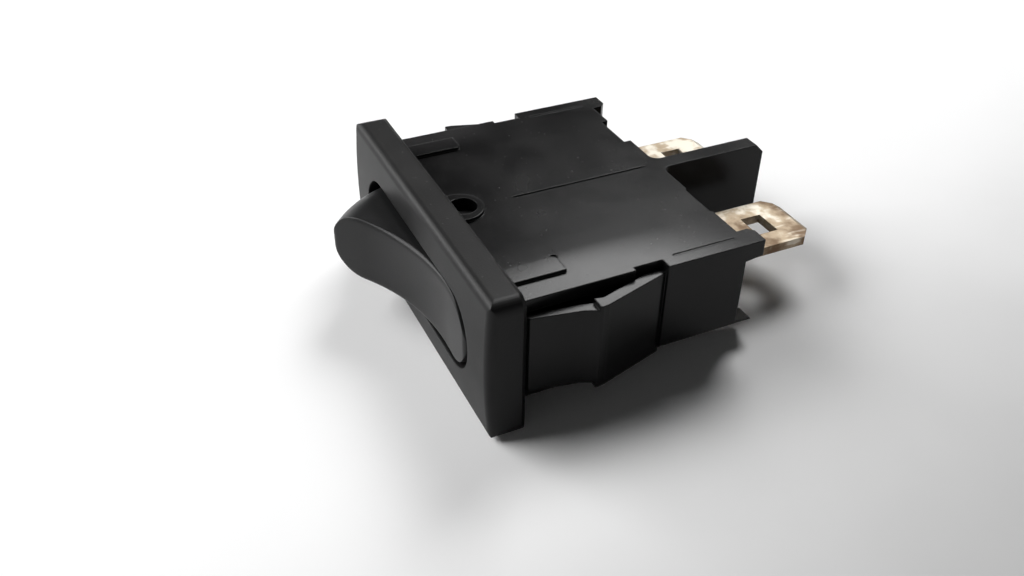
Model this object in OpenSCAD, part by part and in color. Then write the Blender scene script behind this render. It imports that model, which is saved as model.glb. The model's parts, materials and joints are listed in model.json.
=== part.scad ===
// Snap-in single-pole rocker switch.
// X runs along the bezel, +Y points out of the back (terminals), +Z is up across the width.
// The origin is the centre of the bezel's back face, where the panel seats.

/* [Bezel] */
// Length of the bezel
bezel_l = 30; // [29:0.1:33]
// Width of the bezel
bezel_w = 12.6; // [12:0.1:16]
// Thickness of the bezel at the crown of its front
bezel_t = 3; // [2.6:0.1:4]
// How far the front is crowned across its width
bezel_crown = 0.25; // [0.1:0.05:0.4]
// Radius of the front edges
bezel_edge_r = 0.75; // [0.3:0.05:0.8]
// Radius of the four corners
bezel_corner_r = 1; // [0.4:0.1:1.5]
// Length of the rocker's mouth
mouth_l = 22.8; // [22.6:0.1:23.6]
// Width of the rocker's mouth
mouth_w = 7; // [6.8:0.1:7.6]
// Depth of the mouth's straight rim
mouth_rim = 1.7; // [1.2:0.1:2]

/* [Housing] */
// Thickness of the body across the two side plates
body_w = 9.14; // [9:0.02:10]
// Thickness of one side plate
plate_t = 1.05; // [0.9:0.05:1.05]
// Length of the side plates beside the snap arms
plate_l = 26.04; // [25.8:0.02:26.4]
// Length over the end walls behind the snap arms
core_l = 25.2; // [24.9:0.1:25.4]
// Thickness of the end walls
end_wall = 0.7; // [0.6:0.05:0.9]
// Length of the rear block, which fills the panel cut-out
block_l = 27.16; // [27:0.02:27.2]
// Distance from the panel seat to the rear block
block_y = 12.4; // [12:0.1:13]
// Distance from the panel seat to the rear wall's outer face
wall_y = 19; // [18.8:0.1:20]
// Thickness of the rear wall
wall_t = 1.6; // [1.2:0.1:1.8]
// How far the side plates stand past the rear wall
plate_lip = 0.7; // [0.4:0.1:1]
// How far the corner ears stand past the side plates
ear_out = 1.4; // [0.8:0.05:1.6]
// Width of a corner ear
ear_w = 1.9; // [1.4:0.1:2.4]
// Thickness of a corner ear at its tip
ear_t = 1.42; // [1.2:0.02:1.6]
// Chamfer along the rear block's lower end edges
block_chamfer = 1.42; // [0.8:0.02:1.5]
// Thickness of the barrier between the terminals
barrier_t = 1.5; // [1:0.1:2]
// Distance from the panel seat to the barrier's end
barrier_y = 30.4; // [28:0.1:31]
// Chamfer at the barrier's outer corners
barrier_chamfer = 0.8; // [0.5:0.1:2]

/* [Plate details] */
// Height of the locating ribs and pivot bosses
rib_h = 0.28; // [0.1:0.02:0.4]
// Width of a locating rib
rib_w = 1.9; // [1:0.1:2.2]
// Length of a locating rib from the bezel
rib_l = 5.1; // [4:0.1:6]
// Distance from the middle of the switch to the centre of a rib
rib_x = 10.15; // [9.5:0.05:10.4]
// Width of the round-ended boss at a pivot hole
boss_w = 4; // [3.4:0.1:4.4]
// Distance from the panel seat to the boss's end
boss_y = 3.2; // [3.1:0.05:3.8]
// Width of the fine grooves in the upper plate
groove_w = 0.22; // [0.1:0.02:0.4]
// Depth of the dividing groove along the middle
groove_d = 0.14; // [0.05:0.01:0.3]
// Distance from the panel seat to the dividing groove
groove_y = 5.9; // [5:0.1:7]
// Length of the dividing groove
groove_l = 12.5; // [8:0.1:13]
// Depth of the faint grooves along the rear block's ends
edge_groove_d = 0.06; // [0.03:0.01:0.2]
// Distance from the rear block's ends to those grooves
edge_groove_in = 1.05; // [0.6:0.05:1.6]
// Radius of the small round mark
mark_r = 0.28; // [0.2:0.02:0.4]
// Depth of the small round mark
mark_d = 0.25; // [0.1:0.05:0.4]
// Distance from the middle of the switch to the rear edge's two notches
notch_x = 4.6; // [3:0.1:5.5]
// Length of the notch on the raised side
notch_l = 4.2; // [2:0.1:5]
// Depth of the notch on the raised side
notch_d = 0.65; // [0.2:0.05:0.65]
// Length of the notch on the pushed-in side
shelf_l = 3.8; // [2:0.1:5]
// Depth of the notch on the pushed-in side
shelf_d = 0.2; // [0.1:0.05:0.6]

/* [Snap arms] */
// Height of a snap arm's ramp across the body
arm_h = 7.7; // [7.2:0.1:8]
// Height of a snap arm's neck across the body
neck_h = 6.9; // [6:0.1:7.2]
// Distance over the peaks of the two arms
arm_span = 30.1; // [29.2:0.1:30.4]
// Distance from the panel seat to the peak
arm_peak_y = 6.1; // [5.5:0.1:7]
// How far an arm steps in from the peak to the neck
arm_step = 0.6; // [0.3:0.05:0.7]
// Length of that step along the arm
arm_step_l = 1.3; // [1:0.1:1.6]
// Distance over the free ends of the two arms
arm_tip_span = 27.5; // [27.3:0.1:28]
// Distance from the panel seat to the free ends
arm_tip_y = 0.7; // [0.4:0.1:1]
// Thickness of an arm at its free end
arm_tip_t = 0.6; // [0.4:0.05:0.7]
// Thickness of an arm at its peak
arm_peak_t = 1.0; // [0.8:0.05:1.2]

/* [Rocker] */
// Half of the rocker's total swing, in degrees
rocker_half_deg = 14.4; // [12:0.1:14.8]
// Radius from the pivot to the rocker's ends
rocker_r = 11.6; // [11.2:0.05:11.65]
// Width of the rocker
rocker_w = 6.1; // [5.6:0.1:6.2]
// How far the rocker's end play lets it lie to one side
rocker_drop = 0.2; // [0:0.05:0.25]
// Height of the finger face over the pivot at its middle
rocker_h = 5.1; // [4.8:0.05:5.3]
// Slope of each half of the finger face, in degrees
rocker_slope = 17; // [12:0.5:19]
// Radius of the valley in the finger face
rocker_valley_r = 20; // [12:0.5:25]
// Radius of the nose at each end
rocker_nose_r = 0.6; // [0.4:0.1:1.5]
// Wall thickness of the rocker
rocker_wall = 1; // [0.8:0.05:1.2]
// Distance from the panel seat to the pivot
pivot_y = 1.5; // [1.3:0.05:1.8]
// Radius of the pivot pins
pin_r = 1.15; // [1:0.05:1.2]
// Radial clearance of the pins in their holes
pin_gap = 0.05; // [0.03:0.01:0.08]
// How far a pin's end lies inside the plate's outer face
pin_recess = 0.4; // [0.2:0.05:0.6]

/* [Plunger] */
// Radius of the plunger's round nose
nose_r = 1; // [0.8:0.05:1.2]
// Radius of the plunger where it slides in the tube
slide_r = 1.4; // [1.25:0.05:1.45]
// Radial clearance of the plunger in the tube
slide_gap = 0.05; // [0.03:0.01:0.08]
// Length of the plunger's sliding part
slide_l = 4.2; // [3.5:0.1:4.6]
// Wire diameter of the plunger spring
wire_d = 0.32; // [0.25:0.01:0.4]
// Number of turns in the plunger spring
spring_turns = 5; // [4:1:6]

/* [Contact lever] */
// Angle of each wing of the lever, which is also half of its swing, in degrees
lever_deg = 12; // [10:0.5:12.5]
// Thickness of the lever
lever_t = 0.5; // [0.4:0.05:0.6]
// Width of the lever
lever_w = 4.2; // [3.6:0.1:5]
// Length of one wing of the lever
wing_l = 7.8; // [7.6:0.1:8.4]
// Radius of the rolled pivot bead
bead_r = 0.6; // [0.55:0.05:0.7]
// Radial clearance of the bead in its cradle
bead_gap = 0.05; // [0.03:0.01:0.08]
// Radius of the contact rivets' heads
contact_r = 1.15; // [0.9:0.05:1.3]
// Height of the moving contact's head
moving_h = 0.6; // [0.4:0.05:0.8]
// Height of the fixed contact's head
fixed_h = 0.8; // [0.6:0.05:0.9]
// Offset of both contacts across the width
contact_z = 1.1; // [0.8:0.05:1.2]

/* [Terminals] */
// Width of a push-on tab
tab_w = 6.3; // [6.2:0.05:6.4]
// Thickness of the tabs
tab_t = 0.8; // [0.7:0.05:0.85]
// Distance from the middle of the switch to the centre of a tab
tab_x = 6.55; // [6.3:0.05:7]
// Distance from the panel seat to the tips of the tabs
tab_y = 30.1; // [28:0.1:31]
// Chamfer at the corners of a tab's tip
tab_chamfer = 1.25; // [0.6:0.05:1.6]
// Width of the hole through a tab
tab_hole_w = 2.6; // [1.6:0.1:3]
// Length of the hole through a tab
tab_hole_l = 2; // [1.6:0.1:2.4]
// Distance from a tab's tip to the centre of its hole
tab_hole_back = 3.7; // [3.2:0.1:4.2]
// Clearance all round a tab in its slot
slot_gap = 0.05; // [0.03:0.01:0.1]
// Inner radius of the bend that carries the contact seat
seat_bend = 0.5; // [0.4:0.05:0.7]
// Distance from that bend to the rear wall
seat_stand = 0.5; // [0.3:0.05:0.9]

/* [Hidden] */
$fn = 64;
eps = 0.01;
far = 50;

// Half sizes used again and again
bz = bezel_w / 2;
body_z = body_w / 2;
bay_z = body_z - plate_t;
bay_x = core_l / 2 - end_wall;
block_x = block_l / 2;
plate_x = plate_l / 2;
core_x = core_l / 2;
plate_y = wall_y + plate_lip;
ear_y = plate_y + ear_out;
floor_y = wall_y - wall_t;
edge_y = bezel_t - bezel_crown;
arm_tip_x = arm_tip_span / 2;
arm_peak_x = arm_span / 2;
arm_root_y = block_y - 2.5;

// Rocker: nose circle tangent to the sloped face and to the end radius
rb = rocker_w / 2;
slope_k = tan(rocker_slope);
valley_u = rocker_valley_r * sin(rocker_slope);
apex_h = rocker_h + rocker_valley_r * (1 - cos(rocker_slope)) - valley_u * slope_k;
nose_k = apex_h - rocker_nose_r / cos(rocker_slope);
nose_c = rocker_r - rocker_nose_r;
nose_u = (-nose_k * slope_k + sqrt(nose_c ^ 2 * (1 + slope_k ^ 2) - nose_k ^ 2)) / (1 + slope_k ^ 2);
nose_h = nose_k + slope_k * nose_u;
face_u = nose_u - rocker_nose_r * sin(rocker_slope);
face_h = nose_h + rocker_nose_r * cos(rocker_slope);
tube_r = slide_r + slide_gap + 0.8;
tube_end = slide_l + 0.4;
tube_top = rocker_h - rocker_wall - 0.2;

// Contacts and lever, stacked forward from the rear wall
contact_gap = 0.03;
seat_y = floor_y - seat_stand - seat_bend - tab_t;
// A wing's rear face when that wing lies flat
flat_y = seat_y - fixed_h - contact_gap - moving_h;
// The lever's underside at the vertex lies this far in front of its pivot
under = 0.25;
vertex = under + lever_t / 2;
lever_y = flat_y + vertex * cos(lever_deg) - lever_t / 2;
ratio = lever_deg / rocker_half_deg;
// Distance from the rocker's pivot to the plunger's nose centre when it just meets a wing
function nose_reach(a) =
    let (w = lever_deg - ratio * a)
    ((lever_y - pivot_y) * cos(w) - vertex * cos(lever_deg) - lever_t / 2 - nose_r) / cos(a - w);
nose_gap = 0.05;
nose_v = min([for (a = [0 : 0.5 : rocker_half_deg]) nose_reach(a)]) - nose_gap;
plunger_travel = nose_reach(rocker_half_deg) - nose_v - nose_gap;
shank_r = 0.55;
shank_gap = 0.02;
spring_r = slide_r - wire_d / 2 - 0.1;
plunger_back = 0.2;

// Points along an arc
function arc(cx, cy, r, a0, a1, n = 8) =
    [for (i = [0 : n]) let (a = a0 + (a1 - a0) * i / n) [cx + r * cos(a), cy + r * sin(a)]];

// Extrudes an outline drawn in X and Z along Y, from y0 to y1
module along_y(y0, y1) {
    translate([0, y1, 0])
        rotate([90, 0, 0])
            linear_extrude(y1 - y0)
                children();
}

// Extrudes an outline drawn in Y and Z along X, from x0 to x1
module along_x(x0, x1) {
    translate([x0, 0, 0])
        rotate([90, 0, 90])
            linear_extrude(x1 - x0)
                children();
}

// Box from its low corner to its high corner
module box(lo, hi) {
    translate(lo)
        cube(hi - lo);
}

module both_ends() {
    children();
    mirror([1, 0, 0])
        children();
}

module both_sides() {
    children();
    mirror([0, 0, 1])
        children();
}

// Outline with two round ends
module stadium(length, width) {
    run = (length - width) / 2;
    square([2 * run, width], center = true);
    both_ends()
        translate([run, 0])
            circle(d = width);
}

// The place and tilt of the rocker, whose +X end is pushed in
module in_rocker() {
    translate([0, pivot_y, -rocker_drop])
        rotate([0, 0, rocker_half_deg])
            children();
}

// The place and tilt of the contact lever
module in_lever() {
    translate([0, lever_y, 0])
        rotate([0, 0, -lever_deg])
            children();
}

// ---- housing ----

module bezel() {
    crown_r = ((bz - bezel_edge_r) ^ 2 + bezel_crown ^ 2) / (2 * bezel_crown);
    core = bezel_l - 2 * bezel_edge_r;
    intersection() {
        // corners
        along_y(-bezel_t - eps, 0)
            polygon(concat(
                arc(bezel_l / 2 - bezel_corner_r, bz - bezel_corner_r, bezel_corner_r, 0, 90),
                arc(-bezel_l / 2 + bezel_corner_r, bz - bezel_corner_r, bezel_corner_r, 90, 180),
                arc(-bezel_l / 2 + bezel_corner_r, -bz + bezel_corner_r, bezel_corner_r, 180, 270),
                arc(bezel_l / 2 - bezel_corner_r, -bz + bezel_corner_r, bezel_corner_r, 270, 360)));
        // rounded long edges
        along_x(-bezel_l, bezel_l)
            polygon(concat(
                [[0, -bz], [0, bz]],
                arc(bezel_edge_r - edge_y, bz - bezel_edge_r, bezel_edge_r, 90, 180),
                [[-far, bz - bezel_edge_r], [-far, bezel_edge_r - bz]],
                arc(bezel_edge_r - edge_y, bezel_edge_r - bz, bezel_edge_r, 180, 270)));
        // crowned front, turned about a line along X, with its short edges rounded
        translate([0, crown_r - bezel_t, 0])
            rotate([0, 90, 0])
                rotate_extrude($fn = 360) {
                    translate([0, -core / 2])
                        square([crown_r, core]);
                    translate([0, -bezel_l / 2])
                        square([crown_r - bezel_edge_r, bezel_l]);
                    for (end = [-1, 1])
                        translate([crown_r - bezel_edge_r, end * core / 2])
                            circle(r = bezel_edge_r, $fn = 48);
                }
    }
}

// A side plate, on +Z, with its stepped rear edge
module side_plate() {
    difference() {
        union() {
            box([-plate_x, -eps, bay_z - eps], [plate_x, block_y + eps, body_z]);
            box([-block_x, block_y, bay_z - eps], [block_x, plate_y, body_z]);
        }
        both_ends()
            box([core_x, arm_root_y, bay_z - 1], [plate_x + 1, block_y, body_z + 1]);
    }
}

// An ear past the plate's rear corner, on +X and +Z
module ear() {
    slope = 0.3;
    bevel = 0.45;
    intersection() {
        along_x(block_x - ear_w, block_x)
            polygon([[wall_y - eps, body_z - ear_t - slope], [ear_y, body_z - ear_t],
                [ear_y, body_z], [wall_y - eps, body_z]]);
        linear_extrude(far)
            polygon([[block_x - ear_w, wall_y - 1], [block_x, wall_y - 1], [block_x, ear_y],
                [block_x - ear_w + bevel, ear_y], [block_x - ear_w, ear_y - bevel]]);
    }
}

// Side view of a sprung arm on +X: root on the block, ramp to the peak, step, and neck
module arm_outline() {
    peak_r = 0.4;
    inset = 0.3;
    wall_gap = 0.2;
    neck_y = arm_peak_y - arm_step_l;
    neck_x = arm_peak_x - arm_step;
    polygon(concat(
        [[block_x - inset, block_y + eps], [arm_peak_x - 0.06, arm_peak_y + 0.5]],
        arc(arm_peak_x - peak_r, arm_peak_y, peak_r, 20, -60, 5),
        [[neck_x, neck_y], [arm_tip_x, arm_tip_y + 0.2],
            [arm_tip_x - 0.2, arm_tip_y], [arm_tip_x - arm_tip_t, arm_tip_y],
            [neck_x - (arm_tip_t + arm_peak_t) / 2, neck_y],
            [arm_peak_x - arm_peak_t, arm_peak_y + 0.5],
            [core_x + wall_gap, arm_root_y + 0.9], [core_x + wall_gap, block_y + eps]]));
}

// The whole arm: the neck is lower than the ramp
module snap_arm() {
    peak_front = 0.2;
    linear_extrude(neck_h, center = true)
        arm_outline();
    intersection() {
        linear_extrude(arm_h, center = true)
            arm_outline();
        box([0, arm_peak_y - peak_front, -far], [far, far, far]);
    }
}

// The barrier between the terminals
module barrier() {
    t = barrier_t / 2;
    fillet = 0.8;
    along_x(-t, t)
        polygon([[floor_y + eps, -body_z], [barrier_y - barrier_chamfer, -body_z],
            [barrier_y, barrier_chamfer - body_z], [barrier_y, body_z - barrier_chamfer],
            [barrier_y - barrier_chamfer, body_z], [floor_y + eps, body_z]]);
    // fillets where it meets the plates
    both_sides()
        both_ends()
            translate([0, 0, bay_z])
                linear_extrude(plate_t)
                    difference() {
                        polygon([[t - eps, plate_y - eps], [t + fillet, plate_y - eps],
                            [t + fillet, plate_y], [t, plate_y + fillet], [t - eps, plate_y + fillet]]);
                        translate([t + fillet, plate_y + fillet])
                            circle(r = fillet, $fn = 32);
                    }
}

module rib() {
    corner = 0.4;
    translate([rib_x - rib_w / 2, 0, body_z - eps])
        linear_extrude(rib_h + eps)
            polygon(concat([[0, -eps], [rib_w, -eps], [rib_w, rib_l]],
                arc(corner, rib_l - corner, corner, 90, 180, 5)));
}

// Boss round a pivot hole, with straight sides down to the bezel
module pivot_boss() {
    boss_r = boss_w / 2;
    translate([0, 0, body_z - eps])
        linear_extrude(rib_h + eps) {
            translate([0, boss_y - boss_r])
                circle(r = boss_r);
            translate([-boss_r, -eps])
                square([boss_w, boss_y - boss_r + eps]);
        }
}

module housing_solid() {
    bezel();
    both_sides() {
        side_plate();
        both_ends() {
            ear();
            rib();
        }
        pivot_boss();
    }
    // end walls beside the snap arms
    both_ends()
        box([bay_x, -eps, -bay_z - eps], [core_x, block_y + eps, bay_z + eps]);
    // rear block: end walls and back wall
    both_ends()
        box([bay_x, block_y, -bay_z - eps], [block_x, wall_y + 0.55, bay_z + eps]);
    box([-bay_x - eps, floor_y, -bay_z - eps], [bay_x + eps, wall_y, bay_z + eps]);
    both_ends()
        snap_arm();
    barrier();
}

module housing_cuts() {
    // mouth for the rocker
    along_y(-far, eps)
        stadium(mouth_l, mouth_w);
    // bay behind the mouth's rim
    box([-bay_x, mouth_rim - bezel_t, -bay_z], [bay_x, block_y, bay_z]);
    // pivot holes
    translate([0, pivot_y, 0])
        cylinder(r = pin_r + pin_gap, h = far, center = true);
    // slots for the tabs
    both_ends()
        box([tab_x - tab_w / 2 - slot_gap, floor_y - 1, -tab_t / 2 - slot_gap],
            [tab_x + tab_w / 2 + slot_gap, wall_y + 1, tab_t / 2 + slot_gap]);
    // pockets in the bezel's back behind the free ends of the arms
    both_ends()
        box([core_x, -0.4, -neck_h / 2 - 0.3], [arm_tip_x + 0.6, eps, neck_h / 2 + 0.3]);
    // chamfers along the block's lower end edges
    both_ends()
        along_y(block_y, ear_y + 1)
            polygon([[block_x + eps, block_chamfer - body_z + eps], [block_x + 1, -body_z - 1],
                [block_x - block_chamfer - eps, -body_z - eps]]);
    // fine grooves in the upper plate
    box([-groove_w / 2, groove_y, body_z - groove_d],
        [groove_w / 2, groove_y + groove_l, body_z + 1]);
    both_ends()
        box([block_x - edge_groove_in - groove_w, block_y + edge_groove_in, body_z - edge_groove_d],
            [block_x - edge_groove_in, wall_y, body_z + 1]);
    // small round mark beside one rib
    translate([rib_x - 1.2, rib_l, body_z - mark_d])
        cylinder(r = mark_r, h = 1, $fn = 24);
    // notches in the upper plate's rear edge
    box([-notch_x - notch_l, plate_y - notch_d, bay_z + 0.05], [-notch_x, plate_y + 1, body_z + 1]);
    box([notch_x, plate_y - shelf_d, bay_z + 0.05], [notch_x + shelf_l, plate_y + 1, body_z + 1]);
}

module housing() {
    color([0.07, 0.07, 0.075])
        difference() {
            housing_solid();
            housing_cuts();
        }
}

// ---- rocker ----

// Disc about the pivot with a full round rim, which gives the rocker its round ends
module rounded_disc(r, b) {
    rotate_extrude($fn = 120)
        intersection() {
            union() {
                translate([0, -b])
                    square([r - b, 2 * b]);
                translate([r - b, 0])
                    circle(r = b);
            }
            translate([0, -b])
                square([r, 2 * b]);
        }
}

// Side view of the rocker's face, open to the rear as far as skirt
module face_outline(skirt) {
    end = rocker_r / nose_c;
    polygon([[0, -apex_h], [face_u, -face_h], [nose_u, -nose_h], [nose_u * end, -nose_h * end],
        [far, -nose_h * end], [far, skirt], [-far, skirt], [-far, -nose_h * end],
        [-nose_u * end, -nose_h * end], [-nose_u, -nose_h], [-face_u, -face_h]]);
    both_ends()
        translate([nose_u, -nose_h])
            circle(r = rocker_nose_r);
    // rounded valley
    difference() {
        polygon([[0, -apex_h + eps], [valley_u, -apex_h - valley_u * slope_k],
            [-valley_u, -apex_h - valley_u * slope_k]]);
        translate([0, -rocker_h - rocker_valley_r])
            circle(r = rocker_valley_r, $fn = 180);
    }
}

module rocker_shell() {
    skirt = 0.4;
    difference() {
        intersection() {
            rounded_disc(rocker_r, rb);
            linear_extrude(far, center = true)
                union() {
                    face_outline(skirt);
                    circle(r = pin_r + 0.7);
                }
        }
        // hollow under the face
        intersection() {
            rounded_disc(rocker_r - rocker_wall, rb - rocker_wall);
            translate([0, rocker_wall + 0.2, 0])
                linear_extrude(far, center = true)
                    face_outline(far);
        }
    }
}

module rocker() {
    pin_end = body_z - pin_recess;
    lead = 0.25;
    color([0.075, 0.075, 0.08])
        in_rocker()
            difference() {
                union() {
                    rocker_shell();
                    // tube for the plunger
                    intersection() {
                        translate([0, -tube_top - 0.5, 0])
                            rotate([-90, 0, 0])
                                cylinder(r = tube_r, h = tube_top + 0.5 + tube_end);
                        box([-far, -far, -rb], [far, far, rb]);
                    }
                    // pivot pins with lead-in tips
                    both_sides() {
                        translate([0, 0, rb - rocker_wall / 2])
                            cylinder(r = pin_r, h = pin_end - lead - rb + rocker_wall / 2);
                        translate([0, 0, pin_end - lead])
                            cylinder(r1 = pin_r, r2 = pin_r - lead, h = lead);
                    }
                }
                translate([0, -tube_top, 0])
                    rotate([-90, 0, 0])
                        cylinder(r = slide_r + slide_gap, h = far);
            }
}

// ---- plunger and spring ----

module plunger() {
    stub_r = 0.55;
    stub_l = 1.2;
    color([0.82, 0.8, 0.74])
        in_rocker() {
            translate([0, plunger_back, 0])
                rotate([-90, 0, 0])
                    cylinder(r = slide_r, h = slide_l);
            translate([0, plunger_back + slide_l - eps, 0])
                rotate([-90, 0, 0])
                    cylinder(r = nose_r, h = nose_v - plunger_back - slide_l + eps);
            translate([0, nose_v, 0])
                sphere(r = nose_r);
            // stub that centres the spring
            translate([0, plunger_back - stub_l, 0])
                rotate([-90, 0, 0])
                    cylinder(r = stub_r, h = stub_l + eps);
        }
}

// Coil from the tube's end to the plunger's back, swept as a six-sided wire
module plunger_spring() {
    v0 = wire_d / 2 - tube_top + 0.02;
    v1 = plunger_back - wire_d / 2 - 0.02;
    rings = spring_turns * 20;
    sides = 6;
    pitch = atan((v1 - v0) / spring_turns / (2 * PI * spring_r));
    points = [for (i = [0 : rings], j = [0 : sides - 1])
        let (
            a = 360 * spring_turns * i / rings,
            b = 360 * j / sides,
            // outward and along-axis parts of the wire's section
            out = cos(b) * wire_d / 2,
            up = sin(b) * wire_d / 2)
        [(spring_r + out) * cos(a) - up * sin(pitch) * -sin(a),
            v0 + (v1 - v0) * i / rings + up * cos(pitch),
            (spring_r + out) * sin(a) - up * sin(pitch) * cos(a)]];
    walls = [for (i = [0 : rings - 1], j = [0 : sides - 1])
        let (k = (j + 1) % sides)
        [i * sides + j, i * sides + k, (i + 1) * sides + k, (i + 1) * sides + j]];
    caps = [[for (j = [sides - 1 : -1 : 0]) j], [for (j = [0 : sides - 1]) rings * sides + j]];
    color([0.72, 0.72, 0.74])
        in_rocker()
            polyhedron(points, concat(walls, caps), convexity = 8);
}

// ---- contact lever and contacts ----

module contact_lever() {
    color([0.78, 0.55, 0.28])
        in_lever() {
            difference() {
                linear_extrude(lever_w, center = true)
                    both_ends()
                        translate([0, -vertex])
                            rotate(-lever_deg)
                                translate([0, -lever_t / 2])
                                    square([wing_l, lever_t]);
                // hole for the moving contact's shank
                translate([0, -vertex, 0])
                    rotate([0, 0, -lever_deg])
                        translate([tab_x, 0, contact_z])
                            rotate([90, 0, 0])
                                cylinder(r = shank_r + shank_gap, h = 2 * lever_t, center = true, $fn = 32);
            }
            // rolled bead that sits in the cradle
            cylinder(r = bead_r, h = lever_w, center = true, $fn = 48);
        }
}

// Rivet with its head towards +Y, its shank running back through a sheet
module rivet(head_h, sheet_t) {
    edge = 0.15;
    rotate([-90, 0, 0]) {
        cylinder(r = contact_r, h = head_h - edge);
        translate([0, 0, head_h - edge])
            cylinder(r1 = contact_r, r2 = contact_r - edge, h = edge);
        translate([0, 0, -sheet_t - 0.12])
            cylinder(r = shank_r, h = sheet_t + 0.12 + eps, $fn = 32);
        translate([0, 0, -sheet_t - 0.2])
            cylinder(r = shank_r + 0.25, h = 0.18, $fn = 32);
    }
}

module moving_contact() {
    color([0.8, 0.8, 0.78])
        in_lever()
            translate([0, -vertex, 0])
                rotate([0, 0, -lever_deg])
                    translate([tab_x, lever_t / 2, contact_z])
                        rivet(moving_h, lever_t);
}

module fixed_contact() {
    color([0.8, 0.8, 0.78])
        translate([tab_x, seat_y, contact_z])
            rotate([180, 0, 0])
                mirror([0, 0, 1])
                    rivet(fixed_h, tab_t);
}

// ---- terminals ----

// Outline of a tab about X = 0, from y0 to the tip
module tab_outline(y0) {
    w = tab_w / 2;
    difference() {
        polygon([[-w, y0], [w, y0], [w, tab_y - tab_chamfer], [w - tab_chamfer, tab_y],
            [tab_chamfer - w, tab_y], [-w, tab_y - tab_chamfer]]);
        translate([0, tab_y - tab_hole_back])
            square([tab_hole_w, tab_hole_l], center = true);
    }
}

// Side view of a tab in Y and Z, with its bevelled tip
module tab_side(y0) {
    bevel = 0.25;
    h = tab_t / 2;
    polygon([[y0, -h], [tab_y - 2 * bevel, -h], [tab_y, bevel - h], [tab_y, h - bevel],
        [tab_y - 2 * bevel, h], [y0, h]]);
}

module common_terminal() {
    shoulder = 0.6;
    stop_y = flat_y + contact_gap;
    post_y = lever_y + 0.1;
    seat = bead_r + bead_gap;
    color([0.78, 0.66, 0.45])
        intersection() {
            linear_extrude(tab_t, center = true)
                difference() {
                    union() {
                        translate([-tab_x, 0])
                            tab_outline(floor_y - eps);
                        polygon([
                            [-tab_x - tab_w / 2 - shoulder, floor_y],
                            [-tab_x - tab_w / 2 - shoulder, stop_y + 0.6],
                            [-wing_l + 0.2, stop_y], [-wing_l + 2.6, stop_y],
                            [-wing_l + 3.2, floor_y - 1.3], [-2, floor_y - 1.3],
                            [-1.4, post_y], [1.4, post_y], [1.7, floor_y]]);
                    }
                    translate([0, lever_y])
                        circle(r = seat, $fn = 48);
                }
            along_x(-far, far)
                tab_side(0);
        }
}

module switched_terminal() {
    shoulder = 0.6;
    h = tab_t / 2;
    reach = contact_z + contact_r + 0.35;
    color([0.78, 0.66, 0.45]) {
        intersection() {
            linear_extrude(tab_t, center = true)
                translate([tab_x, 0])
                    union() {
                        tab_outline(floor_y - eps);
                        polygon([[-tab_w / 2 - shoulder, seat_y + tab_t + seat_bend],
                            [tab_w / 2 + shoulder, seat_y + tab_t + seat_bend],
                            [tab_w / 2 + shoulder, floor_y], [-tab_w / 2 - shoulder, floor_y]]);
                    }
            along_x(-far, far)
                tab_side(0);
        }
        // contact seat, bent over at a right angle
        difference() {
            along_x(tab_x - tab_w / 2, tab_x + tab_w / 2)
                difference() {
                    polygon(concat(
                        [[seat_y + tab_t + seat_bend + eps, -h]],
                        arc(seat_y + tab_t + seat_bend, -h + tab_t + seat_bend, tab_t + seat_bend, 270, 180),
                        [[seat_y, reach], [seat_y + tab_t, reach]],
                        [[seat_y + tab_t, h + seat_bend], [seat_y + tab_t + seat_bend + eps, h]]));
                    translate([seat_y + tab_t + seat_bend, h + seat_bend])
                        circle(r = seat_bend, $fn = 32);
                }
            translate([tab_x, seat_y - 1, contact_z])
                rotate([-90, 0, 0])
                    cylinder(r = shank_r + shank_gap, h = tab_t + 2, $fn = 32);
        }
    }
}

housing();
rocker();
plunger();
plunger_spring();
contact_lever();
moving_contact();
fixed_contact();
common_terminal();
switched_terminal();
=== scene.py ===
import json
from math import atan2, cos, pi, radians, sin, sqrt

import bmesh
import bpy
import numpy as np
from bpy.props import FloatProperty, FloatVectorProperty, IntProperty, PointerProperty
from mathutils import Euler, Matrix, Vector


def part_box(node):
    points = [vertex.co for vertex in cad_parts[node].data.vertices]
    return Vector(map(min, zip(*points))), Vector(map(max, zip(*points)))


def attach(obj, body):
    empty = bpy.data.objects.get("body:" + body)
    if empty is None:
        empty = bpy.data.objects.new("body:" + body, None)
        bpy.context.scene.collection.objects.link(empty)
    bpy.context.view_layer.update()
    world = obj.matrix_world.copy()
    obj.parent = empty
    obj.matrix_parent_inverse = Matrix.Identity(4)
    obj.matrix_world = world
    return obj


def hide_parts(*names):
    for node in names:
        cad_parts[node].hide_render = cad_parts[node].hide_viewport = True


bl_info = {
    "name": "Snap-in rocker switch",
    "version": (1, 0, 0),
    "blender": (4, 5, 0),
    "location": "3D View > Sidebar > Switch",
    "description": "Makes the rocker and spring of a snap-in switch, and finishes its moulded and stamped parts",
    "category": "Object",
}

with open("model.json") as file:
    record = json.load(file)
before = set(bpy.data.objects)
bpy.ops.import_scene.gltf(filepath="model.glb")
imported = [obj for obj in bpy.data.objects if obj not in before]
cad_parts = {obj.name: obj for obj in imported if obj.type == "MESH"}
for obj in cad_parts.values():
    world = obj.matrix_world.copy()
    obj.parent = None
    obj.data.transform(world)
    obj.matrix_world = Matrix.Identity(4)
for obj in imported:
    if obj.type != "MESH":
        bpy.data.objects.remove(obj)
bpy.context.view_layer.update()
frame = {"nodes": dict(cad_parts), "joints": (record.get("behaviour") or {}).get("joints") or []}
JOINTS = {joint["name"]: joint for joint in frame["joints"]}
MM = 0.001


def length(name, description, millimetres):
    """A length property, given in millimetres and kept in metres."""
    return FloatProperty(
        name=name, description=description, default=millimetres * MM,
        min=0.0, precision=5, subtype="DISTANCE", unit="LENGTH")


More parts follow.
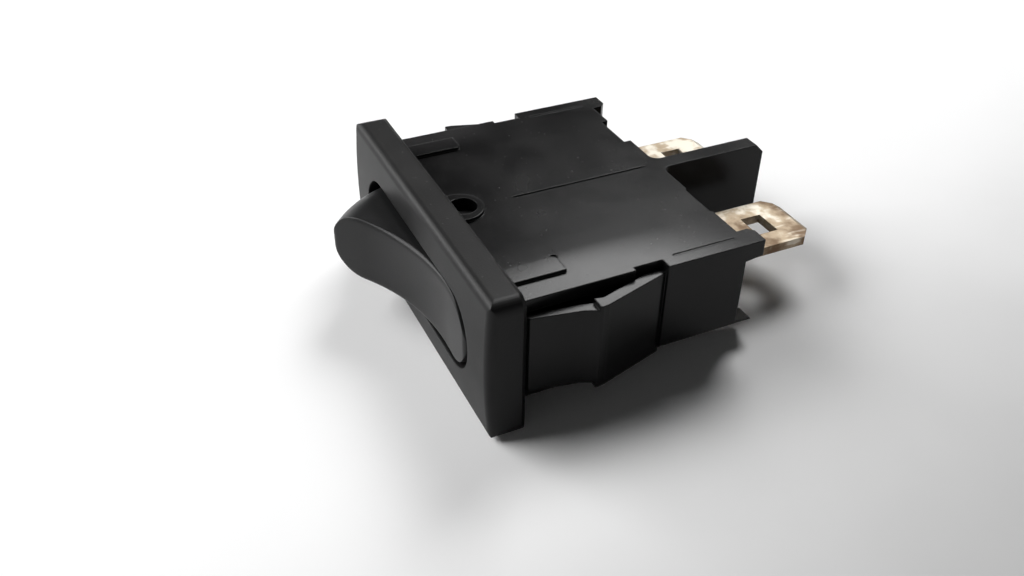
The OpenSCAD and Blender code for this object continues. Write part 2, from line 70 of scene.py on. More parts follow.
def share(name, description, default):
    """A property from 0 to 1."""
    return FloatProperty(
        name=name, description=description, default=default, min=0.0, max=1.0, subtype="FACTOR")


def colour(name, description, default):
    """A linear colour property."""
    return FloatVectorProperty(
        name=name, description=description, default=default, size=3, min=0.0, max=1.0, subtype="COLOR")


def angle(name, description, degrees):
    """An angle property, given in degrees and kept in radians."""
    return FloatProperty(
        name=name, description=description, default=radians(degrees), subtype="ANGLE", unit="ROTATION")


# ---- settings ----

class SWITCH_PG_housing(bpy.types.PropertyGroup):
    """Finish of the housing's moulding"""
    colour: colour("Colour", "Colour of the moulded housing", (0.004, 0.004, 0.0042))
    roughness: share("Roughness", "Roughness of the side plates", 0.25)
    bezel_roughness: share("Bezel roughness", "Roughness of the bezel, which has a coarser grain", 0.42)
    edge: length("Edge radius", "Radius that softens the housing's edges", 0.14)
    grain: length("Grain depth", "Depth of the mould's fine grain", 0.006)
    fall: length("Plate fall", "How far the thin side plates fall away at their ends", 0.55)
    dust: share("Dust", "How much pale dust lies on the upper face", 0.35)
    dust_colour: colour("Dust colour", "Colour of the dust", (0.30, 0.29, 0.28))


class SWITCH_PG_rocker(bpy.types.PropertyGroup):
    """Shape and finish of the rocker"""
    radius: length("End radius", "Distance from the pivot to the rocker's ends", 11.6)
    width: length("Width", "Width of the rocker", 6.1)
    height: length("Height", "Height of the finger face over the pivot at its middle", 5.1)
    slope: angle("Slope", "Slope of each half of the finger face", 17)
    valley: length("Valley radius", "Radius of the valley in the finger face", 20.0)
    nose: length("Nose radius", "Radius of the nose at each end", 0.6)
    fillet: length("Fillet", "Radius along the finger face's edges", 0.45)
    wall: length("Wall", "Thickness of the rocker's wall", 1.0)
    skirt: length("Skirt", "How far the ends reach past the pivot", 0.4)
    pin_radius: length("Pin radius", "Radius of the pivot pins", 1.15)
    pin_lead: length("Pin lead-in", "Chamfer at the pins' ends", 0.25)
    tube_radius: length("Tube radius", "Outer radius of the plunger's tube", 2.25)
    tube_bore: length("Tube bore", "Inner radius of the plunger's tube", 1.45)
    tube_length: length("Tube length", "How far the tube reaches behind the pivot", 4.6)
    tube_gap: length("Tube gap", "How far the bore stops short of the finger face's inner side", 0.2)
    tube_cap: length("Tube cap", "Thickness of the tube's closed end", 0.5)
    colour: colour("Colour", "Colour of the moulded rocker", (0.013, 0.013, 0.0134))
    roughness: share("Roughness", "Roughness of the moulded rocker", 0.34)
    grain: length("Grain depth", "Depth of the mould's fine grain", 0.008)


class SWITCH_PG_spring(bpy.types.PropertyGroup):
    """Shape and finish of the plunger's spring, and the finish of the plunger"""
    wire: length("Wire", "Diameter of the spring's wire", 0.32)
    turns: IntProperty(name="Turns", description="Number of turns in the spring", default=5, min=2, max=12)
    side_gap: length("Side gap", "Gap between the spring and the tube's bore", 0.15)
    seat: length("Seat", "How far behind the pivot the spring ends on the plunger", 0.2)
    colour: colour("Colour", "Colour of the spring's wire", (0.55, 0.55, 0.57))
    plunger_colour: colour("Plunger colour", "Colour of the plunger", (0.74, 0.71, 0.62))


class SWITCH_PG_lever(bpy.types.PropertyGroup):
    """Finish of the contact lever and the contacts"""
    colour: colour("Colour", "Colour of the lever's strip", (0.62, 0.36, 0.16))
    contact_colour: colour("Contact colour", "Colour of the contact rivets", (0.80, 0.79, 0.76))


class SWITCH_PG_terminals(bpy.types.PropertyGroup):
    """Finish of the two terminals"""
    colour: colour("Colour", "Colour of the clean plating", (0.63, 0.59, 0.51))
    tan_colour: colour("Tan colour", "Colour of the light tarnish", (0.36, 0.29, 0.205))
    tarnish_colour: colour("Tarnish colour", "Colour of the deep tarnish", (0.17, 0.105, 0.06))
    tarnish_shift: FloatProperty(
        name="Tarnish shift", description="Moves the tarnish's pattern", default=4.3)
    tarnish: share("Tarnish", "How much of the plating is tarnished", 0.45)
    tarnish_reach: length("Tarnish reach", "How far the tarnish spreads out of the housing", 5.0)
    root: length("Root", "How far behind the panel seat the tabs leave the housing", 19.0)
    side: length("Side", "Distance from the switch's middle to a tab's outer side", 9.7)
    roughness: share("Roughness", "Roughness of the plating", 0.5)
    edge: length("Edge radius", "Radius that softens the stamped edges", 0.08)


class SWITCH_PG_stage(bpy.types.PropertyGroup):
    """Camera, floor and light"""
    camera_place: FloatVectorProperty(
        name="Camera place", description="Where the camera stands", size=3,
        default=(0.06269, -0.02369, 0.04689), precision=5, subtype="TRANSLATION", unit="LENGTH")
    camera_turn: FloatVectorProperty(
        name="Camera turn", description="How the camera is turned", size=3,
        default=(radians(53.362), radians(-0.561), radians(65.127)), subtype="EULER", unit="ROTATION")
    focal_length: FloatProperty(
        name="Focal length", description="Focal length for a frame 36 mm wide",
        default=34.785, min=1.0, subtype="DISTANCE_CAMERA")
    floor_colour: colour("Floor colour", "Colour of the floor beside the window", (0.96, 0.96, 0.96))
    # Painted shade: the floor is coloured darker towards +X to stand in for the light falling off on the side away
    # from the window. The four lengths below place that painted shade.
    floor_painted_shade: colour(
        "Floor shade", "Colour of the floor on the side away from the window", (0.45, 0.45, 0.45))
    floor_reach: length("Floor reach", "How far the floor reaches each way", 800)
    shade_start: length("Shade start", "How far towards +X the floor starts to darken", 8)
    shade_full: length("Shade full", "How far towards +X the floor has darkened", 62)
    shade_turn: length("Shade turn", "How far towards +X the floor starts to turn pale again", 55)
    shade_end: length("Shade end", "How far towards +X the floor is pale again", 120)
    window: FloatProperty(
        name="Window", description="Power of the window behind the switch",
        default=4.7, min=0.0, subtype="POWER", unit="POWER")
    window_turn: angle("Window bearing", "Direction of the window, from +X towards +Y", 136)
    window_rise: angle("Window height", "How high the window stands over the floor", 50)
    window_width: length("Window opening width", "Width of the window's opening", 360)
    window_height: length("Window opening height", "Height of the window's opening", 360)
    side_window: FloatProperty(
        name="Side window", description="Power of the window in front of the switch, to its left",
        default=9.9, min=0.0, subtype="POWER", unit="POWER")
    side_window_turn: angle("Side window bearing", "Direction of the side window, from +X towards +Y", 230)
    side_window_rise: angle("Side window height", "How high the side window stands over the floor", 32)
    side_window_width: length("Side window opening width", "Width of the side window's opening", 720)
    side_window_height: length("Side window opening height", "Height of the side window's opening", 600)
    fade_start: length("Fade start", "Distance at which the floor starts to turn into the backdrop", 120)
    fade_end: length("Fade end", "Distance at which the floor has turned into the backdrop", 270)
    backdrop: FloatProperty(
        name="Backdrop", description="Brightness of the backdrop, where 1 is white", default=0.85, min=0.0)
    sky_low: angle("Backdrop top", "Height up to which the sky is as pale as the backdrop", 7)
    sky_high: angle("Sky start", "Height from which the sky has only its even light", 16)
    distance: length("Distance", "How far both windows are from the switch", 900)
    fill: FloatProperty(
        name="Fill", description="Strength of the even light all round", default=0.02, min=0.0)


# ---- meshes from grids of points ----

def add_object(name, mesh, body):
    """Puts a finished mesh in the scene, riding on a body."""
    piece = bpy.data.objects.new(name, mesh)
    bpy.context.scene.collection.objects.link(piece)
    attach(piece, body)
    return piece


def grid_faces(rows, columns, first=0, wrap=False):
    """Four-cornered faces of a grid whose points are numbered row by row.

    Point (i, j) is first + i * columns + j. With wrap, the last column joins the first."""
    i, j = np.meshgrid(np.arange(rows - 1), np.arange(columns if wrap else columns - 1), indexing="ij")
    k = (j + 1) % columns
    corners = (i * columns + j, i * columns + k, (i + 1) * columns + k, (i + 1) * columns + j)
    return first + np.stack(corners, axis=-1).reshape(-1, 4)


def solid_mesh(name, points, *face_sets, smooth_below=40):
    """Closes seams and poles by merging points that coincide, turns faces outwards and shades them smooth."""
    mesh = bpy.data.meshes.new(name)
    faces = [face for face_set in face_sets for face in face_set.tolist()]
    mesh.from_pydata(points.reshape(-1, 3).tolist(), [], faces)
    work = bmesh.new()
    work.from_mesh(mesh)
    bmesh.ops.remove_doubles(work, verts=work.verts, dist=1e-7)
    bmesh.ops.dissolve_degenerate(work, edges=work.edges, dist=1e-7)
    bmesh.ops.recalc_face_normals(work, faces=work.faces)
    work.to_mesh(mesh)
    work.free()
    mesh.polygons.foreach_set("use_smooth", np.ones(len(mesh.polygons), bool))
    mesh.set_sharp_from_angle(angle=radians(smooth_below))
    return mesh


def turned(outline, sides, place):
    """Solid of revolution as a grid: a row for each outline point, a column for each angle.

    An outline point (r, h) at angle a is place @ (r cos a, r sin a, h)."""
    angle = np.arange(sides) * 2 * pi / sides
    r, h = np.asarray(outline, float).T[:, :, None]
    local = np.stack(np.broadcast_arrays(r * np.cos(angle), r * np.sin(angle), h), axis=-1)
    return moved(local, place)


def moved(points, place):
    """Points carried by a 4 x 4 placement."""
    matrix = np.array(place)
    return points @ matrix[:3, :3].T + matrix[:3, 3]


# ---- shader expressions ----

class Field:
    """A value or colour inside a material. Arithmetic on it adds Math nodes."""

    def __init__(self, nodes, socket):
        self.nodes = nodes
        self.socket = socket

    def math(self, operation, *terms, clamp=False):
        return self.nodes.add(
            "ShaderNodeMath", {"operation": operation, "use_clamp": clamp}, dict(enumerate(terms)))

    def __add__(self, other):
        return self.math("ADD", self, other)

    def __sub__(self, other):
        return self.math("SUBTRACT", self, other)

    def __rsub__(self, other):
        return self.math("SUBTRACT", other, self)

    def __mul__(self, other):
        return self.math("MULTIPLY", self, other)

    def __pow__(self, other):
        return self.math("POWER", self, other)

    def __rpow__(self, other):
        return self.math("POWER", other, self)

    def __abs__(self):
        return self.math("ABSOLUTE", self)

    __radd__ = __add__
    __rmul__ = __mul__

    def between(self, low, high):
        """0 below low, 1 above high and smooth from one to the other."""
        return self.nodes.add(
            "ShaderNodeMapRange", {"interpolation_type": "SMOOTHSTEP"},
            {"Value": self, "From Min": low, "From Max": high})

    def limited(self):
        """Held between 0 and 1."""
        return self.math("ADD", self, 0.0, clamp=True)


class Nodes:
    """A node tree, and the one method that adds a node to it."""

    def __init__(self, tree):
        self.tree = tree

    def add(self, kind, settings=None, inputs=None, output=0):
        """Adds a node. Settings come first, then the value or link of each input."""
        node = self.tree.nodes.new(kind)
        for key, value in (settings or {}).items():
            setattr(node, key, value)
        for key, value in (inputs or {}).items():
            self.feed(node.inputs[key], value)
        return Field(self, node.outputs[output])

    def feed(self, socket, value):
        """Links a field to a socket, or sets the socket's own value."""
        if isinstance(value, Field):
            self.tree.links.new(value.socket, socket)
        else:
            socket.default_value = value


class Finish(Nodes):
    """One material: a Principled shader, its constants, and the places and patterns that feed it."""

    def __init__(self, name, **constants):
        self.material = bpy.data.materials.new(name)
        self.material.use_nodes = True
        super().__init__(self.material.node_tree)
        self.shader = self.tree.nodes["Principled BSDF"]
        self.set(**constants)
        place = self.add("ShaderNodeTexCoord", output="Object")
        self.place = self.add("ShaderNodeVectorMath", {"operation": "SCALE"}, {0: place, "Scale": 1 / MM})

    def set(self, **inputs):
        """Feeds the shader's own sockets."""
        for key, value in inputs.items():
            self.feed(self.shader.inputs[key.replace("_", " ")], value)

    def noise(self, per_mm, detail=2.0, stretch=(1, 1, 1), shift=0.0):
        """Noise with so many features to the millimetre, drawn out along an axis by stretch."""
        place = self.add(
            "ShaderNodeMapping", {}, {0: self.place, "Location": (shift,) * 3, "Scale": stretch})
        return self.add("ShaderNodeTexNoise", {}, {"Vector": place, "Scale": per_mm, "Detail": detail})

    def mix(self, amount, low, high):
        """Colour that goes from low to high as amount goes from 0 to 1."""
        return self.add(
            "ShaderNodeMix", {"data_type": "RGBA"}, {0: amount, 6: low, 7: high}, output=2)

    def axis(self, name):
        """One coordinate of the place, in millimetres."""
        return self.add("ShaderNodeSeparateXYZ", {}, {0: self.place}, output=name)

    def facing(self, name):
        """One component of the surface's direction."""
        normal = self.add("ShaderNodeNewGeometry", output="Normal")
        return self.add("ShaderNodeSeparateXYZ", {}, {0: normal}, output=name)

    def soft_edges(self, radius):
        """Surface direction with its edges rounded."""
        return self.add("ShaderNodeBevel", {"samples": 8}, {"Radius": radius})

    def seen(self):
        """1 for a ray from the camera, off a glossy surface or through a clear one, else 0."""
        camera, glossy, clear = (
            self.add("ShaderNodeLightPath", output=f"Is {kind} Ray")
            for kind in ("Camera", "Glossy", "Transmission"))
        return (camera + glossy + clear).limited()

    def finish_with_backdrop(self, amount, strength):
        """Turns the surface to plain light of a strength as amount goes from 0 to 1."""
        light = self.add("ShaderNodeEmission", {}, {"Strength": strength})
        surface = Field(self, self.shader.outputs[0])
        mixed = self.add("ShaderNodeMixShader", {}, {0: amount, 1: surface, 2: light})
        self.feed(self.tree.nodes["Material Output"].inputs["Surface"], mixed)

    def bump(self, height, depth, normal=None):
        """Surface direction raised by a height from 0 to 1 times a depth."""
        inputs = {"Height": height, "Distance": depth, "Strength": 1.0}
        if normal is not None:
            inputs["Normal"] = normal
        return self.add("ShaderNodeBump", {}, inputs)


def rgba(values):
    """A colour with full alpha."""
    return (*values, 1.0)


def moulded_plastic(name, settings, edge, coarser=0.0, fall=0.0, dust=0.0, dust_colour=(0.3, 0.3, 0.3)):
    """Black nylon with the fine grain of a spark-eroded mould, uneven sheen and dust on what faces up.

    In front of the panel seat it is coarser. With a fall, the plates beside the snap arms are shaded as if
    their ends fell away by that much."""
    finish = Finish(name, Specular_IOR_Level=0.19)
    front = 1.0 - finish.axis("Y").between(-0.25, 0.0)
    cloud = finish.noise(0.22, 3.0)
    grain = finish.noise(7.0, 2.0, shift=3.1)
    specks = finish.noise(2.6, 4.0, shift=9.7).between(0.67, 0.77)
    upward = finish.facing("Z").between(0.55, 0.95)
    film = (cloud.between(0.3, 0.8) * 0.06 + specks * 0.35 + front * 0.06) * upward * dust
    surface = finish.soft_edges(edge)
    if fall:
        beside_arms = (1.0 - front) * (1.0 - finish.axis("Y").between(6.0, 20.0))
        ends = abs(finish.axis("X")).between(8.5, 16.5) * beside_arms
        surface = finish.bump(1.0 - ends, fall, surface)
    finish.set(
        Base_Color=finish.mix(film, rgba(settings.colour), rgba(dust_colour)),
        Roughness=settings.roughness + front * coarser + (cloud - 0.5) * 0.10 + film * 0.3,
        Normal=finish.bump(grain, settings.grain, surface))
    return finish.material


def plated_metal(name, settings):
    """Plated brass gone tan in soft patches, browner by the housing, round the rim and on its sheared edges.

    Drawn lines run along the tab, and a few pale rubs follow them where a connector has slid."""
    finish = Finish(name, Metallic=0.8)
    root, reach = settings.root / MM, settings.tarnish_reach / MM
    side, tip = settings.side / MM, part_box("switched_terminal")[1].y / MM
    lines = finish.noise(5.0, 3.0, stretch=(1.0, 0.07, 1.0))
    patches = finish.noise(0.42, 4.0, shift=settings.tarnish_shift)
    spots = finish.noise(1.5, 3.0, shift=1.7)
    rubs = finish.noise(1.6, 2.0, stretch=(1.0, 0.22, 1.0), shift=6.1).between(0.56, 0.68)
    flat = finish.facing("Z")
    sheared = 1.0 - (flat * flat).between(0.2, 0.8)
    from_root = 1.0 - finish.axis("Y").between(root, root + reach)
    near = finish.axis("X").between(-1.0, 1.0)
    at_tip = finish.axis("Y").between(tip - 2.9, tip - 0.5)
    at_side = finish.axis("X").between(side - 1.4, side - 0.1)
    rim = (at_tip * 0.8 + at_side * 0.5) * near
    stain = patches + (spots - 0.5) * 0.3 + from_root * 0.12 + near * 0.08 + rim * 0.14 + settings.tarnish * 0.2
    tan = (stain.between(0.48, 0.66) - rubs * 0.5).limited()
    brown = (stain.between(0.64, 0.88) * 0.8 + sheared * 0.2 - rubs * 0.3).limited()
    plating = finish.mix(tan, rgba(settings.colour), rgba(settings.tan_colour))
    finish.set(
        Base_Color=finish.mix(brown, plating, rgba(settings.tarnish_colour)),
        Roughness=settings.roughness + (lines - 0.5) * 0.2 + brown * 0.15,
        Normal=finish.bump(lines, 0.01 * MM, finish.soft_edges(settings.edge)))
    return finish.material


def bare_metal(name, base, roughness, lines_along=(1.0, 1.0, 0.1)):
    """Bare strip, wire or rivet metal with drawn lines and a little oxide."""
    finish = Finish(name, Metallic=1.0)
    lines = finish.noise(6.0, 3.0, stretch=lines_along)
    oxide = finish.noise(0.8, 4.0, shift=2.9).between(0.5, 0.8) * 0.35
    dark = tuple(0.45 * value for value in base)
    finish.set(
        Base_Color=finish.mix(oxide, rgba(base), rgba(dark)),
        Roughness=roughness + (lines - 0.5) * 0.2 + oxide * 0.2,
        Normal=finish.bump(lines, 0.006 * MM, finish.soft_edges(0.05 * MM)))
    return finish.material


def acetal(name, base):
    """Natural acetal: pale, waxy and a little see-into."""
    finish = Finish(name, Subsurface_Weight=0.12, Subsurface_Scale=0.6 * MM)
    cloud = finish.noise(0.6, 3.0)
    paler = tuple(min(1.0, 1.12 * value) for value in base)
    finish.set(
        Base_Color=finish.mix(cloud, rgba(base), rgba(paler)),
        Roughness=0.3 + cloud * 0.12,
        Normal=finish.bump(finish.noise(9.0, 1.0), 0.002 * MM, finish.soft_edges(0.08 * MM)))
    return finish.material


def give(node, material):
    """Gives every material slot of a CAD node one finish."""
    piece = frame["nodes"][node]
    if not piece.material_slots:
        piece.data.materials.append(material)
    for place in piece.material_slots:
        place.material = material


# ---- rocker ----

def rocker_place():
    """Placement of the rocker's own axes: its pivot, turned by half of its swing, at mid-width."""
    hinge = JOINTS["rocker_hinge"]
    half = radians(hinge["range_deg"][1]) / 2
    low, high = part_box("rocker")
    pivot = Vector((hinge["pos_m"][0], hinge["pos_m"][1], (low.z + high.z) / 2))
    return Matrix.Translation(pivot) @ Matrix.Rotation(half, 4, "Z")


def arc(centre, radius, start, end, count):
    """Points (x, y) of an arc: centre + radius (cos a, sin a) for a from start to end."""
    a = np.linspace(start, end, count)
    return np.stack([centre[0] + radius * np.cos(a), centre[1] + radius * np.sin(a)], axis=-1)


def rocker_profile(radius, height, slope, valley, nose, skirt):
    """Side view of the rocker, u along it and h above the pivot, from one end's skirt to the other's.

    The valley is an arc of its radius about (0, height + valley), the halves are its tangents at the slope, the
    noses are arcs that touch them, and past a nose the line is an arc about the pivot down to the skirt."""
    foot_u = valley * sin(slope)
    foot_h = height + valley * (1 - cos(slope))
    # height at which the straight half, moved in by the nose radius, crosses u = 0
    crossing = foot_h - foot_u * np.tan(slope) - nose / cos(slope)
    rise = np.tan(slope)
    reach = radius - nose
    nose_u = (sqrt(reach**2 * (1 + rise**2) - crossing**2) - crossing * rise) / (1 + rise**2)
    nose_h = crossing + rise * nose_u
    outward = atan2(nose_h, nose_u)
    half = np.concatenate([
        arc((0, height + valley), valley, -pi / 2, slope - pi / 2, 20),
        np.linspace([foot_u, foot_h], [nose_u - nose * sin(slope), nose_h + nose * cos(slope)], 14)[1:],
        arc((nose_u, nose_h), nose, pi / 2 + slope, outward, 12)[1:],
        arc((0, 0), radius, outward, -np.arcsin(skirt / radius), 26)[1:]])
    return np.concatenate([(half * (-1, 1))[:0:-1], half])


def rocker_skin(profile, radius, half_width, fillet):
    """Grid of the rocker's skin: a row for each profile point, and a section across in every row.

    At a profile point d from the pivot, the section lies in the plane of the pivot's axis. It leaves the axis
    at half_width, follows the flat side to radius - half_width, then a quarter round of half_width about that
    distance, as far as the fillet, which brings it over to the top at d."""
    d = np.hypot(profile[:, 0], profile[:, 1])[:, None]
    flat = radius - half_width
    core = d - fillet - flat
    reach = np.sqrt(np.clip((half_width - fillet) ** 2 - np.clip(core, 0, None) ** 2, 0, None))
    meet = np.where(core > 0, np.arctan2(reach, np.maximum(core, 1e-12)), pi / 2)
    base = np.minimum(d - fillet, flat)
    side = np.linspace(0, 1, 5)[None, :-1]
    round_part = np.linspace(0, 1, 12)[None, :-1]
    bend = np.linspace(0, 1, 9)[None, :-1]
    top = np.linspace(0, 1, 6)[None, :]
    turn = pi / 2 + (meet - pi / 2) * round_part
    roll = meet * (1 - bend)
    out = np.concatenate([
        base * side, base + half_width * np.cos(turn), d - fillet + fillet * np.cos(roll), d + 0 * top], axis=1)
    across = np.concatenate([
        half_width + 0 * d * side, half_width * np.sin(turn), reach + fillet * np.sin(roll),
        reach * (1 - top)], axis=1)
    out = np.concatenate([out, out[:, -2::-1]], axis=1)
    across = np.concatenate([across, -across[:, -2::-1]], axis=1)
    direction = profile / d
    return np.stack([out * direction[:, :1], -out * direction[:, 1:], across], axis=-1)


def rocker_shell(s):
    """The rocker's moulding: an outer skin, an inner skin one wall inside it, and the rim that joins them."""
    half = s.width / 2
    outer = rocker_skin(
        rocker_profile(s.radius, s.height, s.slope, s.valley, s.nose, s.skirt), s.radius, half, s.fillet)
    inner = rocker_skin(
        rocker_profile(s.radius - s.wall, s.height - s.wall, s.slope, s.valley + s.wall, s.nose, s.skirt),
        s.radius - s.wall, half - s.wall, s.fillet)
    rows, columns = outer.shape[:2]
    size = rows * columns
    number = np.arange(columns - 1)
    rims = []
    for row in (0, rows - 1):
        a = row * columns + number
        rims.append(np.stack([a, a + 1, a + 1 + size, a + size], axis=-1))
    faces = np.concatenate([
        grid_faces(rows, columns), grid_faces(rows, columns, size)[:, ::-1], *rims])
    points = moved(np.concatenate([outer, inner]).reshape(-1, 3), rocker_place())
    return points, faces


def rocker_pins(s, pin_end):
    """Both pivot pins, turned about the hinge from outlines that end in a lead-in chamfer."""
    root = s.width / 2 - s.wall / 2
    outline = [
        (0, root), (s.pin_radius, root), (s.pin_radius, pin_end - s.pin_lead),
        (s.pin_radius - s.pin_lead, pin_end), (0, pin_end)]
    sides = 48
    grids = [turned([(r, way * h) for r, h in outline], sides, rocker_place()) for way in (1, -1)]
    size = len(outline) * sides
    faces = [grid_faces(len(outline), sides, k * size, wrap=True) for k in (0, 1)]
    return np.concatenate([g.reshape(-1, 3) for g in grids]), np.concatenate(faces)


def plunger_axis():
    """Placement whose Z runs along the plunger, out of the pivot."""
    return rocker_place() @ Matrix.Rotation(-pi / 2, 4, "X")


def bore_end(s):
    """How far the bore of the plunger's tube reaches from the pivot towards the finger face."""
    return s.height - s.wall - s.tube_gap


def rocker_tube(s):
    """The tube that guides the plunger, turned about its axis and blind at the finger face."""
    top = bore_end(s)
    closed = top + s.tube_cap
    outline = [
        (0, -closed), (s.tube_radius, -closed), (s.tube_radius, s.tube_length),
        (s.tube_bore, s.tube_length), (s.tube_bore, -top), (0, -top)]
    sides = 48
    points = turned(outline, sides, plunger_axis())
    return points.reshape(-1, 3), grid_faces(len(outline), sides, wrap=True)


def spring_coil(s, radius, low, high):
    """Round wire along a helix: the centre is (radius cos a, radius sin a, low + (high - low) a / 2 pi turns).

    The wire's section stands square to the helix: it is spanned by the outward direction and by the binormal."""
    steps, sides = 40 * s.turns, 12
    a = np.linspace(0, 2 * pi * s.turns, steps + 1)[:, None]
    b = np.arange(sides)[None, :] * 2 * pi / sides
    climb = (high - low) / (2 * pi * s.turns)
    lean = np.arctan2(climb, radius)
    out = s.wire / 2 * np.cos(b)
    up = s.wire / 2 * np.sin(b)
    x = (radius + out) * np.cos(a) + up * sin(lean) * np.sin(a)
    y = (radius + out) * np.sin(a) - up * sin(lean) * np.cos(a)
    z = low + climb * a + up * cos(lean)
    points = np.stack([x, y, z], axis=-1).reshape(-1, 3)
    ends = np.array([[radius, 0, low], [radius, 0, high]])
    count = (steps + 1) * sides
    k = np.arange(sides)
    first = np.stack([k, (k + 1) % sides, np.full(sides, count)], axis=-1)
    last = np.stack([(k + 1) % sides, k, np.full(sides, count + 1)], axis=-1)
    last[:, :2] += steps * sides
    return moved(np.concatenate([points, ends]), plunger_axis()), grid_faces(steps + 1, sides, wrap=True), first, last


# ---- operators ----

class SWITCH_OT_housing(bpy.types.Operator):
    """Finish the housing"""
    bl_idname = "switch.housing"
    bl_label = "Housing"

    def execute(self, context):
        s = context.scene.switch_housing
        coarser = s.bezel_roughness - s.roughness
        nylon = moulded_plastic("housing_nylon", s, s.edge, coarser, s.fall, s.dust, s.dust_colour)
        give("housing", nylon)
        return {"FINISHED"}


class SWITCH_OT_rocker(bpy.types.Operator):
    """Make the rocker with its pins and tube"""
    bl_idname = "switch.rocker"
    bl_label = "Rocker"

    def execute(self, context):
        s = context.scene.switch_rocker
        low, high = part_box("rocker")
        pin_end = (high.z - low.z) / 2
        nylon = moulded_plastic("rocker_nylon", s, 0.05 * MM)
        parts = {
            "rocker_shell": rocker_shell(s),
            "rocker_pins": rocker_pins(s, pin_end),
            "rocker_tube": rocker_tube(s)}
        for name, (points, faces) in parts.items():
            piece = add_object(name, solid_mesh(name, points, faces), "rocker")
            piece.data.materials.append(nylon)
            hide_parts("rocker")
        return {"FINISHED"}


class SWITCH_OT_plunger(bpy.types.Operator):
    """Finish the plunger and make its spring"""
    bl_idname = "switch.plunger"
    bl_label = "Plunger and spring"

    def execute(self, context):
        s = context.scene.switch_spring
        r = context.scene.switch_rocker
        give("plunger", acetal("plunger_acetal", s.plunger_colour))
        low = s.wire / 2 - bore_end(r)
        high = s.seat - s.wire / 2
        coil = spring_coil(s, r.tube_bore - s.wire / 2 - s.side_gap, low, high)
        piece = add_object("plunger_coil", solid_mesh("plunger_coil", *coil), "rocker")
        piece.data.materials.append(bare_metal("spring_wire", s.colour, 0.3))
        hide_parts("plunger_spring")
        return {"FINISHED"}


class SWITCH_OT_lever(bpy.types.Operator):
    """Finish the contact lever and both contacts"""
    bl_idname = "switch.lever"
    bl_label = "Lever and contacts"

    def execute(self, context):
        s = context.scene.switch_lever
        give("contact_lever", bare_metal("lever_strip", s.colour, 0.32, (0.1, 1.0, 1.0)))
        rivet = bare_metal("contact_silver", s.contact_colour, 0.38, (1.0, 1.0, 1.0))
        for node in ("moving_contact", "fixed_contact"):
            give(node, rivet)
        return {"FINISHED"}


class SWITCH_OT_terminals(bpy.types.Operator):
    """Finish both terminals"""
    bl_idname = "switch.terminals"
    bl_label = "Terminals"

    def execute(self, context):
        s = context.scene.switch_terminals
        plating = plated_metal("terminal_plating", s)
        for node in ("common_terminal", "switched_terminal"):
            give(node, plating)
        return {"FINISHED"}


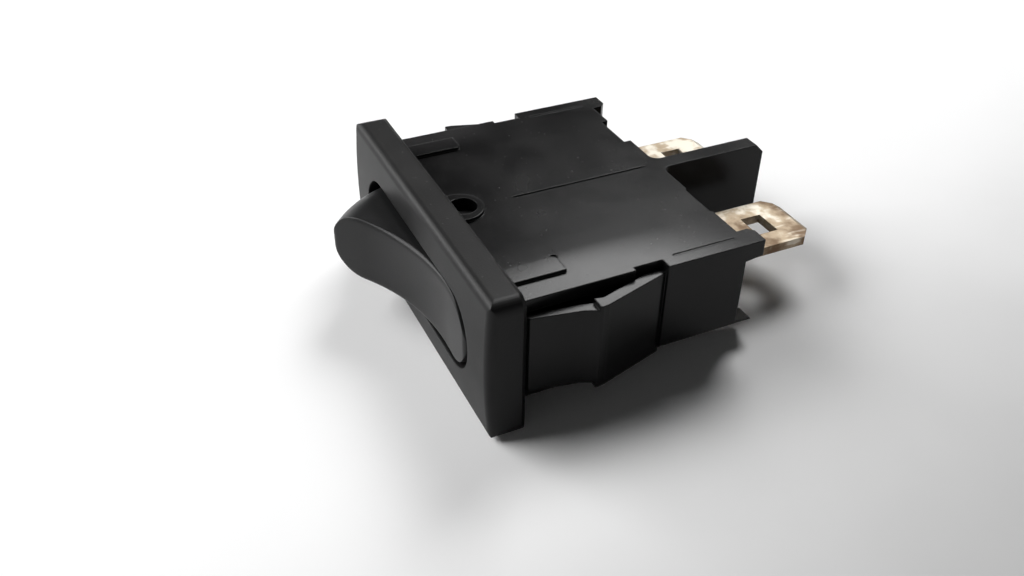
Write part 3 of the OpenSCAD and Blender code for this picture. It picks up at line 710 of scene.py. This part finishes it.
class SWITCH_OT_stage(bpy.types.Operator):
    """Set up the camera, the floor and the light"""
    bl_idname = "switch.stage"
    bl_label = "Stage"

    def execute(self, context):
        s = context.scene.switch_stage
        scene = context.scene
        scene.view_settings.view_transform = "Standard"
        self.add_camera(scene, s)
        self.add_floor(scene, s)
        for name in ("window", "side_window"):
            self.add_window(scene, s, name)
        self.add_sky(scene, s)
        return {"FINISHED"}

    def add_camera(self, scene, s):
        camera = bpy.data.cameras.new("camera")
        camera.sensor_width = 36.0
        camera.lens = s.focal_length
        camera.clip_start = 1 * MM
        camera.clip_end = 10.0
        holder = bpy.data.objects.new("camera", camera)
        turn = Euler(s.camera_turn, "XYZ").to_matrix().to_4x4()
        holder.matrix_world = Matrix.Translation(Vector(s.camera_place)) @ turn
        scene.collection.objects.link(holder)
        scene.camera = holder

    def add_floor(self, scene, s):
        """The plane that the switch lies on: through its lowest edge, and up to whatever it meets behind. Its colour
        is darkened towards +X as painted shade, standing in for the light falling off away from the window.
        """
        housing = frame["nodes"]["housing"]
        points = np.empty(len(housing.data.vertices) * 3)
        housing.data.vertices.foreach_get("co", points)
        points = points.reshape(-1, 3)
        lowest = points[:, 2].min()
        past_bezel = 5 * MM
        behind = points[points[:, 1] > past_bezel]
        rise = ((behind[:, 2] - lowest) / behind[:, 1]).min()
        corners = [
            (x * s.floor_reach, y * s.floor_reach, lowest + rise * y * s.floor_reach)
            for x, y in ((-1, -1), (1, -1), (1, 1), (-1, 1))]
        mesh = bpy.data.meshes.new("floor")
        mesh.from_pydata(corners, [], [(0, 1, 2, 3)])
        floor = bpy.data.objects.new("floor", mesh)
        scene.collection.objects.link(floor)
        paper = Finish("floor_paper", Roughness=0.9, Specular_IOR_Level=0.1)
        x, y = paper.axis("X"), paper.axis("Y")
        # Painted shade: the floor's colour darkens towards +X from shade start to shade full, and turns pale again by
        # shade end. It stands in for light that falls off away from the window.
        away = x + y * 0.25 + paper.noise(0.05, 3.0) * 8.0
        pale_again = away.between(s.shade_turn / MM, s.shade_end / MM)
        shaded = away.between(s.shade_start / MM, s.shade_full / MM) * (1.0 - pale_again)
        paper.set(Base_Color=paper.mix(shaded, rgba(s.floor_colour), rgba(s.floor_painted_shade)))
        far = ((x * x + y * y) ** 0.5).between(s.fade_start / MM, s.fade_end / MM)
        paper.finish_with_backdrop(far * paper.seen(), s.backdrop)
        mesh.materials.append(paper.material)

    def add_window(self, scene, s, name):
        """A soft rectangular light that faces the switch from a bearing and a height."""
        turn, rise = getattr(s, name + "_turn"), getattr(s, name + "_rise")
        light = bpy.data.lights.new(name, "AREA")
        light.shape = "RECTANGLE"
        light.size = getattr(s, name + "_width")
        light.size_y = getattr(s, name + "_height")
        light.energy = getattr(s, name)
        holder = bpy.data.objects.new(name, light)
        aim = Vector((0, 10 * MM, 0))
        away = Vector((cos(rise) * cos(turn), cos(rise) * sin(turn), sin(rise)))
        facing = (-away).to_track_quat("-Z", "Y").to_matrix().to_4x4()
        holder.matrix_world = Matrix.Translation(aim + s.distance * away) @ facing
        holder.visible_camera = False
        scene.collection.objects.link(holder)

    def add_sky(self, scene, s):
        """Dim even light all round, with a pale band over the horizon that the floor's backdrop meets."""
        world = bpy.data.worlds.new("sky")
        scene.world = world
        world.use_nodes = True
        sky = Nodes(world.node_tree)
        direction = sky.add("ShaderNodeTexCoord", output="Generated")
        up = sky.add("ShaderNodeSeparateXYZ", {}, {0: direction}, output="Z")
        strength = sky.add("ShaderNodeMapRange", {"interpolation_type": "SMOOTHSTEP"}, {
            "Value": up, "From Min": sin(s.sky_low), "From Max": sin(s.sky_high),
            "To Min": s.backdrop, "To Max": s.fill})
        light = world.node_tree.nodes["Background"]
        sky.feed(light.inputs["Strength"], strength)
        sky.feed(light.inputs["Color"], rgba((1, 1, 1)))


class SWITCH_PT_panel(bpy.types.Panel):
    """Lists the settings and the operators"""
    bl_label = "Rocker switch"
    bl_idname = "SWITCH_PT_panel"
    bl_space_type = "VIEW_3D"
    bl_region_type = "UI"
    bl_category = "Switch"

    def draw(self, context):
        for group, operator in STEPS:
            box = self.layout.box()
            box.operator(operator.bl_idname)
            settings = getattr(context.scene, group, None)
            if settings is None:
                continue
            for key in settings.__annotations__:
                box.prop(settings, key)


GROUPS = {
    "switch_housing": SWITCH_PG_housing,
    "switch_rocker": SWITCH_PG_rocker,
    "switch_spring": SWITCH_PG_spring,
    "switch_lever": SWITCH_PG_lever,
    "switch_terminals": SWITCH_PG_terminals,
    "switch_stage": SWITCH_PG_stage}

STEPS = (
    ("switch_housing", SWITCH_OT_housing),
    ("switch_rocker", SWITCH_OT_rocker),
    ("switch_spring", SWITCH_OT_plunger),
    ("switch_lever", SWITCH_OT_lever),
    ("switch_terminals", SWITCH_OT_terminals),
    ("switch_stage", SWITCH_OT_stage))


def register():
    for name, group in GROUPS.items():
        bpy.utils.register_class(group)
        setattr(bpy.types.Scene, name, PointerProperty(type=group))
    for _, operator in STEPS:
        bpy.utils.register_class(operator)
    bpy.utils.register_class(SWITCH_PT_panel)


def unregister():
    bpy.utils.unregister_class(SWITCH_PT_panel)
    for _, operator in reversed(STEPS):
        bpy.utils.unregister_class(operator)
    for name, group in reversed(GROUPS.items()):
        delattr(bpy.types.Scene, name)
        bpy.utils.unregister_class(group)


def main():
    register()
    bpy.ops.switch.housing()
    bpy.ops.switch.rocker()
    bpy.ops.switch.plunger()
    bpy.ops.switch.lever()
    bpy.ops.switch.terminals()
    bpy.ops.switch.stage()


if __name__ == "__main__":
    main()
